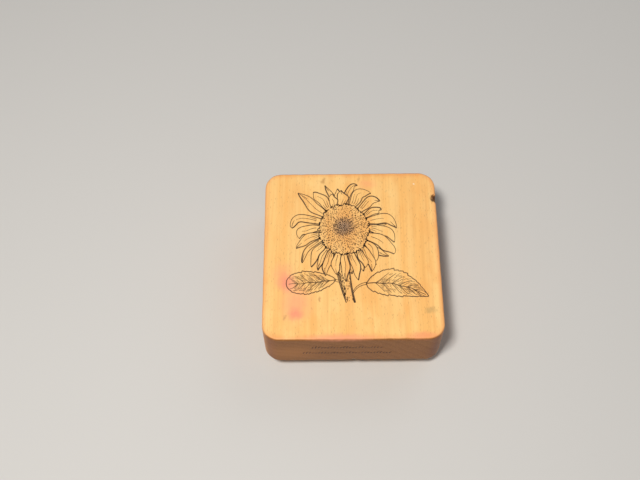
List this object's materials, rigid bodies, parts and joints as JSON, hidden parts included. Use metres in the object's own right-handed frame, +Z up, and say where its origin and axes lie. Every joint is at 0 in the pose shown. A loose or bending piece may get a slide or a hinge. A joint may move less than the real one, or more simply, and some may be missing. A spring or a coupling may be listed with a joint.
{
  "type": "rubber stamp",
  "caption": "Wood-mounted rubber stamp: rounded hardwood block with a printed sunflower on top, foam cushion and trimmed rubber die below.",
  "frame": {"origin": "centre of the block's outline on the printing plane, where the die's raised lines touch the paper", "axes": "+Z up through the block, +X to the right of the printed drawing, +Y to its back, along the wood grain"},
  "size_m": [0.064, 0.068, 0.0259],
  "materials": {
    "hardwood": "satin",
    "index_ink": "matte",
    "faded_ink": "matte",
    "adhesive_film": "gloss",
    "foam": "matte",
    "red_rubber": "satin"
  },
  "bodies": {
    "die": {"rubber_die": "red_rubber", "die_film": "adhesive_film", "foam_cushion": "foam"},
    "block": {"wood_block": "hardwood", "index_print": "index_ink", "side_print": "faded_ink", "mount_film": "adhesive_film"}
  },
  "joints": [
    {"name": "cushion_press", "type": "slide", "parent": "die", "child": "block", "axis": [0, 0, -1], "range_m": [0, 0.0008], "stiffness_N_per_m": 30000, "deforming": ["foam_cushion"]}
  ]
}
